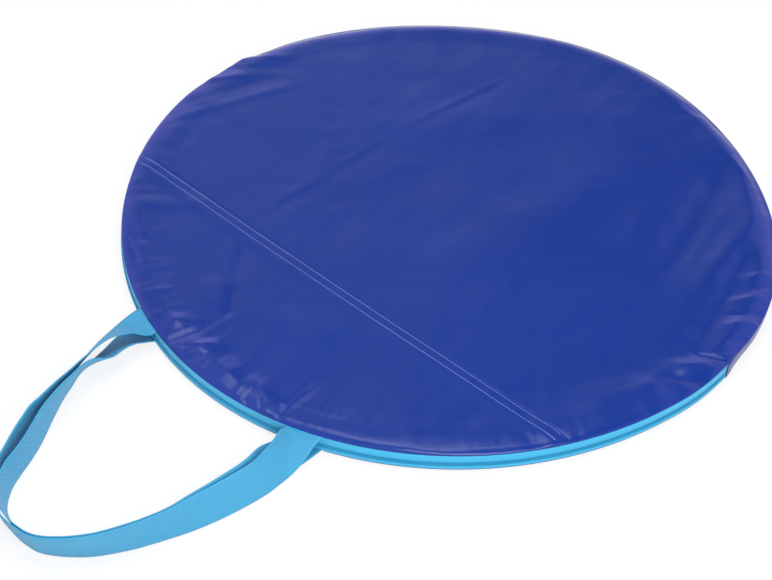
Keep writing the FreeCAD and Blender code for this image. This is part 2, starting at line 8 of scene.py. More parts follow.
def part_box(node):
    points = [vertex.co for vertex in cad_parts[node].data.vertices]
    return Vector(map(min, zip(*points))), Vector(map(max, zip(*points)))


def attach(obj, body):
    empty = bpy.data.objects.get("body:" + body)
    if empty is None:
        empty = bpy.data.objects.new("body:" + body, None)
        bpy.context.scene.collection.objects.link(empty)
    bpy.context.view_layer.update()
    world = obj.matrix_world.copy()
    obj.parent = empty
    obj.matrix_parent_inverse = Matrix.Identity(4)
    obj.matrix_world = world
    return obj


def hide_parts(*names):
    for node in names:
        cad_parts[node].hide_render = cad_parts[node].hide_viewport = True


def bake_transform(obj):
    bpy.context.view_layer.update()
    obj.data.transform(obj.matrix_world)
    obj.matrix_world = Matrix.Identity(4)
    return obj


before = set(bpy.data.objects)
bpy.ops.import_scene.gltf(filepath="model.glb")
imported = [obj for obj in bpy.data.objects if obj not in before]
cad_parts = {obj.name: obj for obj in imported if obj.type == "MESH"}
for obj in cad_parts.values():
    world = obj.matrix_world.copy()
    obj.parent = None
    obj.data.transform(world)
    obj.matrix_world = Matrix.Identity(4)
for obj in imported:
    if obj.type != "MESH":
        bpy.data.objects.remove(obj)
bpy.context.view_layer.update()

# A zipped round carry bag with a net game in it, as the photograph shows it on a white floor.
# Lengths are in metres, and MM turns millimetres into them. +Z is up, the bag's base stands on
# the floor round the origin, and the handles lie towards -Y.

MM = 0.001

RIM = 470 * MM                     # outside of the zip tapes
TOP_EDGE = RIM + 0.3 * MM          # edge of the top cloth
SEAM_HEIGHT = 28 * MM              # seam round the top cloth
CROWN = 34 * MM                    # top cloth over the ring
ROLL_START = 428 * MM              # where the top cloth begins to roll down to its seam
CLOTH = 0.7 * MM                   # thickness
SEAM_LINE = -234 * MM              # middle of the sewn seam across the top
SEAM_REACH = 30 * MM               # how far the cloth beside it is rough
LAP_EDGE = SEAM_LINE + 7.5 * MM    # folded edge of the front cloth, which lies on top
LAP_END = SEAM_LINE - 7 * MM       # end of the top cloth under it
LAP_RISE = (LAP_END - 24 * MM, LAP_END - 3 * MM)     # where the front cloth rises on to it
LAP_LIFT = 1.1 * MM                # how far it rises
LAP_TUCK = 0.3 * MM                # how far its folded edge turns down
STITCH_ROWS = (SEAM_LINE - 6 * MM, SEAM_LINE + 6 * MM)
STITCH_PITCH = 3.3 * MM
ZIP_START, ZIP_END = math.radians(176), math.radians(364)
SLIDER_STOPS = (math.radians(177.1), math.radians(362.5))
DRAWN_IN, DRAWN_DOWN = 1.6 * MM, 4.0 * MM     # how far the back of the rim is pulled in and down
DRAWN_FOOT, DRAWN_LESS = 2.2, 0.8  # times DRAWN_IN at the foot, and how much less at the top
WALL_FOOT = 2.6 * MM               # lower edge of the wall round the back
WEBBING_WIDTH, WEBBING = 50 * MM, 1.5 * MM
BAG_TURN = math.radians(41.5)      # the bag's turn against the photograph's ground
SHARP_EDGE = math.radians(40)      # edges that bend more than this are shown sharp


def smooth(value, low, high):
    """Eases from 0 at low to 1 at high."""
    share = min(1.0, max(0.0, (value - low) / (high - low)))
    return share * share * (3 - 2 * share)


def bump(distance, reach):
    """A soft bump: 1 in its middle, 0 from its reach on."""
    return 1 - smooth(abs(distance), 0, reach)


def apart(angle, other):
    """The angle between two directions round the bag."""
    return abs((angle - other + math.pi) % (2 * math.pi) - math.pi)


def polar(place):
    """The distance and the direction of a place from the bag's middle."""
    return math.hypot(place.x, place.y), math.atan2(place.y, place.x)


def spread(vert, outward):
    """Moves a point of the rim outwards."""
    grow = 1 + outward / RIM
    vert.co.x *= grow
    vert.co.y *= grow


# The photographed rim against a true circle: waves per turn, with their cosine and sine parts
# in thousandths of the rim's radius.
RIM_WAVES = ((3, 4.5, 0.4), (4, -6.2, -3.2), (5, 0.5, -3.8), (6, 0.7, -0.5))


def rim_swell(angle):
    """How far the soft rim stands out from a true circle."""
    turned = angle - BAG_TURN
    waves = sum(a * math.cos(n * turned) + b * math.sin(n * turned) for n, a, b in RIM_WAVES)
    return RIM * MM * waves


def zip_swell(angle):
    """The same for the zip, which is true where the slider stops."""
    free = 1.0
    for stop in SLIDER_STOPS:
        free *= smooth(apart(angle, stop), math.radians(3), math.radians(14))
    return rim_swell(angle) * free


def drawn_in(angle):
    """1 round the back, where no zip holds the rim up, and 0 along the zip."""
    return smooth(apart(angle, math.radians(90)), math.radians(86), math.radians(80))


# Folds of the top cloth, from the photograph, in millimetres: where the middle of each is, its
# heading in degrees, its length, its half width and its height, below 0 for a valley. Soft folds
# are rounded, and creases have a sharp crest.
SOFT_FOLDS = (
    (267, 234, -76, 330, 30, -3.6), (338, 221, -81, 220, 20, 3.0), (406, 84, -72, 210, 24, -2.8),
    (361, 184, 56, 80, 16, -1.2), (345, 300, -46, 150, 16, -1.3), (99, 117, 81, 430, 52, 1.5),
    (-81, 219, 45, 240, 36, 1.6), (405, -108, 62, 130, 24, 1.0), (395, -168, 44, 150, 24, 0.8),
    (327, -268, 44, 70, 18, 0.8), (328, -327, 48, 130, 22, 1.0), (231, -400, 26, 120, 20, 0.8),
    (-439, 30, 45, 160, 9, -1.0), (-418, -20, 69, 190, 10, -1.0), (-299, -276, 41, 110, 14, 1.2),
    (-172, -61, 88, 290, 12, -0.35), (-150, 193, 82, 240, 13, -0.4), (-138, -279, -54, 110, 11, -1.0),
    (-110, -358, -46, 80, 14, 1.5), (-98, -422, 52, 50, 13, 1.5), (69, -459, -44, 80, 22, 1.0),
    (-20, -330, 20, 190, 30, 1.4), (180, -320, 30, 260, 40, -1.0), (230, 20, 70, 260, 44, -1.1),
    (-260, 80, 60, 260, 44, -1.0), (-60, -90, 30, 260, 42, -0.8), (60, 330, 10, 220, 34, 0.9),
)
CREASES = (
    (-184, -61, 88, 290, 9, 0.4), (-162, 193, 82, 240, 9, 0.4), (-180, -104, 82, 160, 8, 0.35),
    (-450, 58, 46, 120, 11, 1.3), (-446, -6, 49, 80, 10, 1.1), (-398, -44, 69, 230, 12, 1.2),
    (-281, -348, -11, 70, 12, -1.5), (-171, -408, 57, 50, 8, 0.9), (-262, -374, -27, 90, 10, -1.0),
    (-169, -432, -25, 90, 18, 1.4), (-85, -346, -49, 66, 12, -2.2), (-71, -392, -93, 70, 10, -1.7),
    (-81, -442, -111, 62, 9, -2.4), (-56, -442, 48, 84, 15, 3.0), (-40, -456, 47, 50, 8, -2.4),
    (0, -446, -4, 124, 28, 3.8), (84, -450, -40, 96, 20, 3.4), (71, -471, -46, 44, 6, -1.6),
    (88, -459, -46, 44, 6, -1.6), (109, -416, 93, 110, 11, -2.6), (148, -436, 22, 124, 26, 3.0),
    (-122, -436, 32, 60, 16, 2.2), (250, -388, 30, 150, 24, 1.6), (360, -288, 50, 150, 24, 1.6),
    (107, 439, -5, 44, 9, -1.2), (243, 380, -25, 66, 7, 1.2), (298, 210, -77, 200, 13, 0.5),
    (413, 183, 61, 40, 7, -1.8), (397, 198, 58, 50, 9, 1.8), (430, 127, 51, 64, 8, -2.4),
    (413, 149, 55, 60, 11, 2.8), (453, 79, 66, 36, 7, -2.2), (439, 106, 53, 60, 11, 2.8),
    (445, 24, 27, 52, 7, -2.6), (447, -1, 43, 96, 17, 3.4), (453, -31, 39, 74, 13, -3.2),
    (405, -110, 62, 130, 26, 1.6),
)


# Each fold with its heading's cosine and sine, and with whether its crest is sharp.
ALL_FOLDS = [(x, y, math.cos(math.radians(heading)), math.sin(math.radians(heading)), *sizes, crisp)
             for folds, crisp in ((SOFT_FOLDS, False), (CREASES, True))
             for x, y, heading, *sizes in folds]


def fold_height(x, y):
    """The height of all folds at a place, in millimetres."""
    height = 0.0
    x, y = x / MM, y / MM
    for middle_x, middle_y, way_x, way_y, length, half_width, lift, crisp in ALL_FOLDS:
        away_x, away_y = x - middle_x, y - middle_y
        along = abs(away_x * way_x + away_y * way_y)
        across = abs(away_y * way_x - away_x * way_y) / half_width
        if along < 0.6 * length and across < 3:
            profile = max(0.0, 1 - across) if crisp else math.exp(-across ** 2)
            height += lift * (1 - smooth(along, 0.2 * length, 0.6 * length)) * profile
    return height


# How strongly the cloth puckers round the rim: direction in degrees, reach in degrees, strength.
PUCKERS = ((270, 48, 0.75), (176, 26, 0.5), (358, 22, 0.6), (330, 16, 0.35), (212, 20, 0.35),
           (60, 40, 0.25))
EVEN_PUCKER = 0.30

# The cloth's rounded waves and its sharp hollows: how many to the metre, height in millimetres
# and shift.
WAVES = ((4.6, 2.2, (0, 0, 0)), (11, 0.9, (3, 1, 7)), (42, 0.16, (0, 0, 0)), (110, 0.05, (0, 0, 0)))
HOLLOWS = ((8.0, 1.3, (5, 2, 8)), (19.0, 0.55, (5, 2, 19)))
# Heights in millimetres: the ridge over the ring, the sag inside it, and the seam's dents.
PUFF, PUFF_MIDDLE, PUFF_HALF = 1.5, 442 * MM, 28 * MM
SAG, SAG_REACH = 1.2, 420 * MM
LAP_GROOVE, STITCH_DENT = 0.5, 0.25


def relief(x, y):
    """How far the top cloth stands above its even height at a place."""
    radius, angle = math.hypot(x, y), math.atan2(y, x)
    spot = Vector((x, y, 0.0))
    height = fold_height(x, y) - SAG * bump(radius, SAG_REACH)
    for scale, amount, shift in WAVES:
        height += amount * noise.noise(spot * scale + Vector(shift))
    for scale, amount, shift in HOLLOWS:
        height -= amount * abs(noise.noise(spot * scale + Vector(shift)))
    pucker = EVEN_PUCKER
    for direction, reach, strength in PUCKERS:
        pucker += strength * bump(apart(angle, math.radians(direction)), math.radians(reach))
    around = Vector((math.cos(angle), math.sin(angle), 0.4 * radius))
    ripple = noise.noise(around * 17) - abs(noise.noise(around * 31)) + 0.25
    height += pucker * smooth(radius, 350 * MM, 450 * MM) * ripple
    ridge = max(0.0, 1 - abs(radius - PUFF_MIDDLE) / PUFF_HALF)
    height += PUFF * ridge * (1 + 0.8 * noise.noise(around * 7))
    if abs(y - SEAM_LINE) < SEAM_REACH:
        rough = noise.noise(Vector((x * 95, y * 30, 2.0)))
        height += 0.15 * rough * bump(y - SEAM_LINE, SEAM_REACH)
        height -= LAP_GROOVE * math.exp(-((y - LAP_EDGE - 1.6 * MM) / (2.0 * MM)) ** 2)
        for row in STITCH_ROWS:
            height -= STITCH_DENT * math.exp(-((y - row) / (1.1 * MM)) ** 2)
    return MM * height


def lay(place):
    """Moves a point of the round and even top cloth to where the real cloth lies."""
    radius, angle = polar(place)
    high = smooth(place.z, SEAM_HEIGHT - 0.5 * MM, SEAM_HEIGHT + 3.5 * MM)
    at_zip = zip_swell(angle)
    swell = at_zip + (rim_swell(angle) - at_zip) * high
    lift = relief(place.x, place.y) * high
    outward = swell * smooth(radius, 220 * MM, RIM) + 0.7 * lift * smooth(radius, 450 * MM, RIM)
    back = drawn_in(angle) * smooth(radius, 448 * MM, RIM)
    grow = 1 + (outward - DRAWN_IN * back) / max(radius, MM)
    return Vector((place.x * grow, place.y * grow, place.z + lift - DRAWN_DOWN * back))


def top_height(radius):
    """The height of the round and even top cloth at a distance from the middle."""
    share = min(1.0, max(0.0, (radius - ROLL_START) / (TOP_EDGE - ROLL_START)))
    return SEAM_HEIGHT + (CROWN - SEAM_HEIGHT) * math.sqrt(1 - share * share)


def arithmetic(operation, swapped=False):
    """The method of Socket for an operation."""

    def method(self, other):
        pair = (other, self) if swapped else (self, other)
        return self.nodes.maths(operation, *pair)

    return method


class Socket:
    """An output of a shader node, written into sums and products as a number is."""

    def __init__(self, nodes, output):
        self.nodes = nodes
        self.output = output

    def __abs__(self):
        return self.nodes.maths("ABSOLUTE", self)

    __add__ = __radd__ = arithmetic("ADD")
    __sub__ = arithmetic("SUBTRACT")
    __rsub__ = arithmetic("SUBTRACT", True)
    __mul__ = __rmul__ = arithmetic("MULTIPLY")
    __truediv__ = arithmetic("DIVIDE")


class Nodes:
    """The nodes of a material or of the surrounding, and the shader that they feed."""

    def __init__(self, owner, shader):
        owner.use_nodes = True
        self.tree = owner.node_tree
        self.shader = self.tree.nodes[shader]

    def plug(self, socket, value):
        if isinstance(value, Socket):
            self.tree.links.new(value.output, socket)
        elif isinstance(value, tuple) and len(value) == 3 and socket.type == "RGBA":
            socket.default_value = value + (1,)
        else:
            socket.default_value = value

    def feed(self, **shader):
        """Sets or links sockets of the shader."""
        for name, value in shader.items():
            self.plug(self.shader.inputs[name.replace("_", " ")], value)

    def node(self, kind, settings, inputs, output=0):
        """Adds a node of any type: its settings first, then its sockets' values or links."""
        added = self.tree.nodes.new("ShaderNode" + kind)
        for name, value in settings.items():
            setattr(added, name, value)
        for name, value in inputs.items():
            self.plug(added.inputs[name], value)
        return Socket(self, added.outputs[output])

    def maths(self, operation, *values):
        return self.node("Math", {"operation": operation}, dict(enumerate(values)))

    def axes(self, vector):
        split = self.node("SeparateXYZ", {}, {0: vector})
        return [Socket(self, output) for output in split.output.node.outputs]

    def rays(self):
        """1 or 0 for what is seen of it, straight or through glass, and for what gloss sees of it."""
        camera, gloss, glass = [self.node("LightPath", {}, {}, "Is %s Ray" % kind)
                                for kind in ("Camera", "Glossy", "Transmission")]
        return self.maths("MAXIMUM", camera, glass), gloss

    def ramp(self, value, *stops):
        """A grey ramp through stops, which are places and levels."""
        made = self.node("ValToRGB", {}, {"Fac": value})
        elements = made.output.node.color_ramp.elements
        while len(elements) < len(stops):
            elements.new(1)
        for element, (place, level) in zip(elements, stops):
            element.position = place
            element.color = (level, level, level, 1)
        return made


class Finish(Nodes):
    """A material, made from constant values of its shader and from nodes."""

    def __init__(self, name, colour, **shader):
        self.material = bpy.data.materials.new(name)
        self.colour = colour
        super().__init__(self.material, "Principled BSDF")
        self.feed(Base_Color=colour, **shader)

    def vary(self, amount, normal, **shader):
        """Feeds the finish's own colour times an amount, a normal, and other sockets."""
        self.feed(Base_Color=self.shade(amount), Normal=normal, **shader)
        return self

    def wave(self, value, pitch):
        """A wave from 0 to 1 along a value, at a pitch in millimetres."""
        return self.maths("SINE", value * (2 * math.pi / (pitch * MM))) * 0.5 + 0.5

    def place(self):
        return self.node("TexCoord", {}, {}, "Object")

    def lie(self):
        """The piece's own map, in metres along and across it."""
        return self.axes(self.node("UVMap", {"uv_map": "lie"}, {}))[:2]

    def grain(self, scale, detail=2.0, rough=0.5, stretch=None):
        place = self.place()
        if stretch:
            place = self.node("Mapping", {}, {"Vector": place, "Scale": stretch})
        return self.node("TexNoise", {}, {"Vector": place, "Scale": scale, "Detail": detail,
                                          "Roughness": rough})

    def shade(self, amount):
        return self.node("VectorMath", {"operation": "SCALE"}, {0: self.colour, "Scale": amount})

    def emboss(self, height, depth, strength=1.0, **under):
        """A bump with a depth in millimetres, which may lie on top of another Normal."""
        return self.node("Bump", {}, {"Height": height, "Distance": depth * MM, "Strength": strength,
                                      **under})


def coated_cloth():
    """Glossy blue cloth, which crinkles finely and shows its weave close by, its colour mottled in broad
    patches by painted sheen.
    """
    finish = Finish("coated_cloth", (0.0052, 0.031, 0.240), IOR=1.45, Specular_Tint=(0.86, 0.86, 1.0))
    x, y = finish.axes(finish.place())[:2]
    threads = finish.wave(x, 0.9) * finish.wave(y, 0.9)
    crinkle = finish.emboss(finish.grain(70.0, 4.0, 0.62), 0.5, 0.45)
    # The broad lighter and darker patches of the colour are painted sheen, where the cloth's gloss would
    # shimmer.
    return finish.vary(0.90 + 0.20 * finish.grain(5.0, 3.0, 0.55),
                       finish.emboss(threads, 0.05, 0.5, Normal=crinkle),
                       Roughness=0.17 + 0.10 * finish.grain(14.0, 3.0))


def lining():
    """The cloth's inner side: dull, with a plain weave."""
    finish = Finish("lining", (0.012, 0.028, 0.130), Roughness=0.75)
    x, y = finish.axes(finish.place())[:2]
    threads = finish.wave(x, 1.1) * finish.wave(y, 1.1)
    return finish.vary(0.82 + 0.28 * threads * finish.grain(9.0), finish.emboss(threads, 0.12, 0.6))


def binding_tape():
    """Dark blue tape with fine ribs."""
    finish = Finish("binding_tape", (0.010, 0.026, 0.160), Roughness=0.7)
    x, y = finish.axes(finish.place())[:2]
    ribs = finish.wave(x + y, 0.8)
    return finish.vary(0.8 + 0.3 * ribs, finish.emboss(ribs + finish.grain(300.0), 0.10, 0.6))


def zip_weave(name, colour, line=3.4):
    """Woven zip tape: fine ribs along it, and a line of stitches, at a height in millimetres, darkened by
    painted shade of the groove beside the coil.
    """
    finish = Finish(name, colour, Roughness=0.55, Sheen_Weight=0.15)
    along, across = finish.lie()
    ribs = finish.wave(across, 1.5)
    picks = finish.wave(along + across * (1.1 / 1.5), 1.1)
    shaded_stitch_line = finish.ramp(abs(across - line * MM) / (0.6 * MM), (0.0, 1.0), (1.0, 0.0))
    dashes = finish.wave(along, 2.6)
    # The stitch line is darkened with painted shade, the shade of the groove between the tape and the
    # coil.
    light = 1.0 - 0.10 * ribs - 0.07 * picks - 0.45 * shaded_stitch_line * (0.6 + 0.4 * dashes)
    height = 0.6 * ribs + 0.5 * picks - 1.2 * shaded_stitch_line * (1 - dashes)
    return finish.vary(light + 0.10 * finish.grain(30.0), finish.emboss(height, 0.18, 0.7))


def webbing_weave():
    """Turquoise webbing in a twill, with plain edges."""
    finish = Finish("webbing_weave", (0.041, 0.345, 0.590), Roughness=0.6, Sheen_Weight=0.10)
    along, across = finish.lie()
    twill = finish.wave(along + across, 3.0)
    picks = finish.wave(along - across, 1.5)
    half = 0.5 * WEBBING_WIDTH
    edge = finish.ramp(abs(across - half) / half, (0.88, 1.0), (0.93, 0.0))
    height = edge * (twill * (0.5 + 0.5 * picks)) + (1 - edge) * 0.55
    return finish.vary(0.84 + 0.24 * height + 0.10 * (finish.grain(24.0) - 0.5),
                       finish.emboss(height, 0.45, 0.75), Roughness=0.66 - 0.12 * height)


def sewing_thread():
    """Pale blue thread, twisted of plies."""
    finish = Finish("sewing_thread", (0.30, 0.42, 0.95), Roughness=0.6, Sheen_Weight=0.1)
    x, y, z = finish.axes(finish.place())
    ply = finish.wave(x + y + z, 0.35)
    return finish.vary(0.85 + 0.2 * ply, finish.emboss(ply, 0.08, 0.6))


def moulded(name, colour, roughness, grain_scale=420.0, depth=0.06):
    """Moulded plastic: a fine grain, and faint flow marks in its gloss."""
    finish = Finish(name, colour)
    flow = finish.grain(12.0, 4.0, 0.6, (1.0, 1.0, 3.0))
    return finish.vary(0.93 + 0.14 * flow, finish.emboss(finish.grain(grain_scale), depth, 0.5),
                       Roughness=roughness - 0.06 + 0.14 * flow)


def painted_metal():
    """Turquoise paint, worn to bare metal in places."""
    finish = Finish("painted_metal", (0.035, 0.36, 0.60), Coat_Weight=0.3)
    worn = finish.ramp(finish.grain(160.0, 4.0), (0.60, 0.0), (0.72, 1.0))
    bare = {0: worn * 0.35, 6: finish.colour, 7: (0.30, 0.33, 0.36)}
    finish.feed(Base_Color=finish.node("Mix", {"data_type": "RGBA"}, bare, 2),
                Normal=finish.emboss(finish.grain(500.0), 0.04, 0.4), Roughness=0.28 + 0.2 * worn)
    return finish


def net_cord_finish():
    """Pale plaited cord."""
    finish = Finish("net_cord", (0.70, 0.74, 0.78), Roughness=0.75, Sheen_Weight=0.2)
    x, y = finish.axes(finish.place())[:2]
    plait = finish.wave(x + y, 1.6) * finish.wave(x - y, 1.6)
    return finish.vary(0.78 + 0.3 * plait, finish.emboss(plait, 0.25, 0.7))


def pebbled_vinyl():
    """The balls' skin: pebbles, with paler rubbed tops."""
    finish = Finish("pebbled_vinyl", (0.045, 0.40, 0.66))
    cells = finish.node("TexVoronoi", {"feature": "SMOOTH_F1"},
                        {"Vector": finish.place(), "Scale": 420.0})
    pebble = finish.ramp(cells, (0.05, 1.0), (0.55, 0.0))
    return finish.vary(0.84 + 0.22 * pebble + 0.1 * finish.grain(20.0),
                       finish.emboss(pebble, 0.3, 0.7), Roughness=0.55 - 0.12 * pebble)


def needle_steel():
    """Steel with fine drawn lines."""
    finish = Finish("needle_steel", (0.60, 0.60, 0.62), Metallic=1.0)
    lines = finish.grain(900.0, 2.0, 0.5, (0.05, 1.0, 1.0))
    finish.feed(Roughness=0.2 + 0.2 * lines, Normal=finish.emboss(lines, 0.02, 0.4))
    return finish


def pale_floor():
    """A white floor that looks white to the camera and to gloss, and keeps a faint shadow."""
    finish = Finish("pale_floor", (0.93, 0.93, 0.93), Roughness=0.9)
    glow = finish.node("Emission", {}, {"Color": (1.0, 1.0, 1.0), "Strength": 1.0})
    both = finish.node("MixShader", {}, {0: finish.maths("MAXIMUM", *finish.rays()) * 0.8, 2: glow})
    finish.tree.links.new(finish.shader.outputs[0], both.output.node.inputs[1])
    finish.tree.links.new(both.output, finish.tree.nodes["Material Output"].inputs[0])
    return finish


NAVY, BLACK = (0.006, 0.012, 0.050), (0.010, 0.010, 0.013)
FINISHES = {
    "cloth": coated_cloth(),
    "lining": lining(),
    "binding": binding_tape(),
    "upper_tape": zip_weave("upper_zip_weave", (0.026, 0.425, 0.710)),
    "lower_tape": zip_weave("lower_zip_weave", (0.034, 0.440, 0.730), 5.1),
    "coil": moulded("zip_nylon", (0.012, 0.34, 0.58), 0.42, 700.0, 0.03),
    "thread": sewing_thread(),
    "webbing": webbing_weave(),
    "slider": painted_metal(),
    "ring": moulded("ring_plastic", NAVY, 0.48),
    "sleeve": moulded("sleeve_plastic", (0.030, 0.33, 0.56), 0.36),
    "leg": moulded("leg_plastic", NAVY, 0.46),
    "foot": moulded("foot_rubber", (0.012, 0.012, 0.014), 0.72, 260.0, 0.12),
    "hook": moulded("hook_nylon", BLACK, 0.38),
    "net": net_cord_finish(),
    "border": zip_weave("border_weave", (0.030, 0.36, 0.62)),
    "ball": pebbled_vinyl(),
    "pump": moulded("pump_plastic", (0.015, 0.060, 0.330), 0.3),
    "trim": moulded("pump_trim", BLACK, 0.4),
    "needle": needle_steel(),
    "floor": pale_floor(),
}


def piece(name, shape, *finishes, slot=None):
    """Makes an object of a finished bmesh, with its finishes; its slot argument is not used."""
    for face in shape.faces:
        face.smooth = True
    for edge in shape.edges:
        if len(edge.link_faces) == 2 and edge.calc_face_angle(0) > SHARP_EDGE:
            edge.smooth = False
    mesh = bpy.data.meshes.new(name)
    shape.to_mesh(mesh)
    shape.free()
    item = bpy.data.objects.new(name, mesh)
    bpy.context.collection.objects.link(item)
    for finish in finishes:
        mesh.materials.append(FINISHES[finish].material)
    return item


def give_thickness(item, thickness, offset=-1.0, inner=False):
    """Thickens a sheet, with its second finish on the inner side."""
    wall = item.modifiers.new("thickness", "SOLIDIFY")
    wall.thickness = thickness
    wall.offset = offset
    if inner:
        wall.material_offset = 1


def add_part(shape, part):
    """Adds a finished part to a shape."""
    mesh = bpy.data.meshes.new("part")
    part.to_mesh(mesh)
    part.free()
    shape.from_mesh(mesh)
    bpy.data.meshes.remove(mesh)


def lined(name, shape):
    """Makes a piece of the bag's cloth, with its lining inside."""
    cloth = piece(name, shape, "cloth", "lining", slot="bag_cloth")
    give_thickness(cloth, CLOTH, inner=True)
    return cloth


def face_out(shape):
    """Turns all faces of a shape outwards."""
    bmesh.ops.recalc_face_normals(shape, faces=shape.faces)


def map_lie(shape, where):
    """Gives a shape its own map, in metres along and across it."""
    layer = shape.loops.layers.uv.new("lie")
    for face in shape.faces:
        for loop in face.loops:
            loop[layer].uv = where(loop.vert)


def grid(columns, rows, reach=1.0):
    """A flat square sheet from -reach to reach."""
    shape = bmesh.new()
    bmesh.ops.create_grid(shape, x_segments=columns, y_segments=rows, size=reach)
    return shape


def disc(steps):
    """A round sheet of one metre's radius: a square grid drawn out to a circle, with no pole."""
    shape = grid(steps, steps)
    for vert in shape.verts:
        x, y = vert.co.x, vert.co.y
        radius = max(abs(x), abs(y))
        if radius < 1e-9:
            continue
        angle = math.pi / 4 * (y / x) if abs(x) >= abs(y) else math.pi / 2 - math.pi / 4 * (x / y)
        if (x if abs(x) >= abs(y) else y) < 0:
            angle += math.pi
        vert.co = Vector((radius * math.cos(angle), radius * math.sin(angle), 0))
    return shape


def cut_at(shape, y, drop_front=False, drop_back=False):
    """Cuts a shape along a line across the bag, and may drop one side."""
    parts = shape.verts[:] + shape.edges[:] + shape.faces[:]
    bmesh.ops.bisect_plane(shape, geom=parts, plane_co=(0, y, 0), plane_no=(0, 1, 0),
                           clear_inner=drop_front, clear_outer=drop_back)


def even_top(steps):
    """The whole top cloth, round and even: flat, then rolled down to its seam."""
    shape = disc(steps)
    flat_share, tuck = 0.80, math.radians(100)
    for vert in shape.verts:
        share = polar(vert.co)[0]
        if share < flat_share:
            vert.co *= ROLL_START / flat_share
            vert.co.z = CROWN
            continue
        turn = (share - flat_share) / (1 - flat_share) * tuck
        radius = ROLL_START + (TOP_EDGE - ROLL_START) * math.sin(turn)
        vert.co *= radius / share
        vert.co.z = SEAM_HEIGHT + (CROWN - SEAM_HEIGHT) * math.cos(turn)
    return shape


def across_fold(item):
    """Bakes a piece's transform into its mesh; the piece lies where the lid folds."""
    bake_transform(item)


def hold(item, over_opening):
    """A piece over the zip's opening has its transform baked, and one under it stays with the base."""
    if over_opening:
        across_fold(item)
    else:
        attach(item, "base")


def make_top():
    """The top cloth from the seam to the back, and the front cloth that laps over it."""
    beside_stitches, beside_lap = (-1.0, -0.4, 0.4, 1.0, 2.2), (0.4, 1.6, 2.6, 4.0)
    lines = [row + offset * MM for row in STITCH_ROWS for offset in beside_stitches]
    lines += [LAP_EDGE + offset * MM for offset in beside_lap]
    for name, front, steps in (("top_cloth", False, 230), ("front_cloth", True, 400)):
        shape = even_top(steps)
        cut_at(shape, LAP_EDGE if front else LAP_END, drop_front=not front, drop_back=front)
        for y in lines:
            if (y < LAP_EDGE) if front else (y > LAP_END):
                cut_at(shape, y)
        face_out(shape)
        for vert in shape.verts:
            place = lay(vert.co)
            if front:
                place.z += LAP_LIFT * smooth(vert.co.y, *LAP_RISE)
                place.z -= LAP_TUCK * smooth(vert.co.y, LAP_EDGE - 0.6 * MM, LAP_EDGE)
            vert.co = place
        cloth = lined(name, shape)
        if front:
            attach(cloth, "lid")
            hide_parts("front_top_panel")
        else:
            across_fold(cloth)
            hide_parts("rear_top_panel", "middle_top_panel")


def bead(shape, size, middle, around=6, along=4, heading=0.0):
    """A rounded bead of the given half sizes."""
    form = Matrix.Translation(middle) @ Matrix.Rotation(heading, 4, "Z") @ Matrix.Diagonal((*size, 1))
    made = bmesh.ops.create_uvsphere(shape, u_segments=around, v_segments=along, radius=1, matrix=form)
    return made["verts"]


def repeat(shape, verts, count, step=(0, 0, 0), turn=0.0):
    """Repeats a shape in a row or round the bag's middle: first into a block, and then the block."""
    block = max(part for part in range(1, int(math.sqrt(count)) + 1) if count % part == 0)
    for times, reach in ((block, 1), (count // block, block)):
        if times == 1:
            continue
        parts = list(verts) + list({edge for vert in verts for edge in vert.link_edges})
        parts += list({face for vert in verts for face in vert.link_faces})
        bmesh.ops.spin(shape, geom=parts, cent=(0, 0, 0), axis=(0, 0, 1), dvec=Vector(step) * reach,
                       angle=turn * reach * (times - 1), steps=times - 1, use_duplicate=True)
        verts = shape.verts[:]


def add_row(shape, count, pitch, size, middle, *form):
    """Adds a straight row of beads across the bag to a shape."""
    line = bmesh.new()
    start = (-(count - 1) / 2 * pitch, *middle)
    repeat(line, bead(line, size, start, *form), count, (pitch, 0, 0))
    add_part(shape, line)


def make_seam():
    """Two rows of stitches on the lap, and the seam allowance inside."""
    stitch = (1.2 * MM, 0.45 * MM, 0.36 * MM)
    shape = bmesh.new()
    for row in STITCH_ROWS:
        count = 12 * int(2 * math.sqrt((RIM - 3 * MM) ** 2 - row ** 2) / STITCH_PITCH / 12)
        add_row(shape, count, STITCH_PITCH, stitch, (row, 0), 6, 5)
    for vert in shape.verts:
        slant = 0.10 * MM * math.sin(vert.co.x / STITCH_PITCH * 2 * math.pi)
        height = top_height(polar(vert.co)[0]) + LAP_LIFT
        vert.co = lay(vert.co + Vector((0, slant, height)))
    stitches = piece("seam_thread", shape, "thread", slot="thread")
    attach(stitches, "lid")
    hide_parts("seam_stitches")

    half_length, half_width = 385 * MM, 7 * MM
    shape = grid(220, 6)
    for vert in shape.verts:
        x, y = vert.co.x * half_length, SEAM_LINE + vert.co.y * half_width
        ragged = 0.5 * MM * noise.noise(Vector((x * 60, 4, vert.co.y)))
        place = lay(Vector((x, y, top_height(math.hypot(x, y)))))
        vert.co = Vector((place.x, place.y + ragged, place.z - CLOTH - 0.55 * MM))
    allowance = piece("seam_allowance_folded", shape, "lining", slot="bag_cloth")
    give_thickness(allowance, 0.6 * MM)
    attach(allowance, "lid")
    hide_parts("seam_allowance")


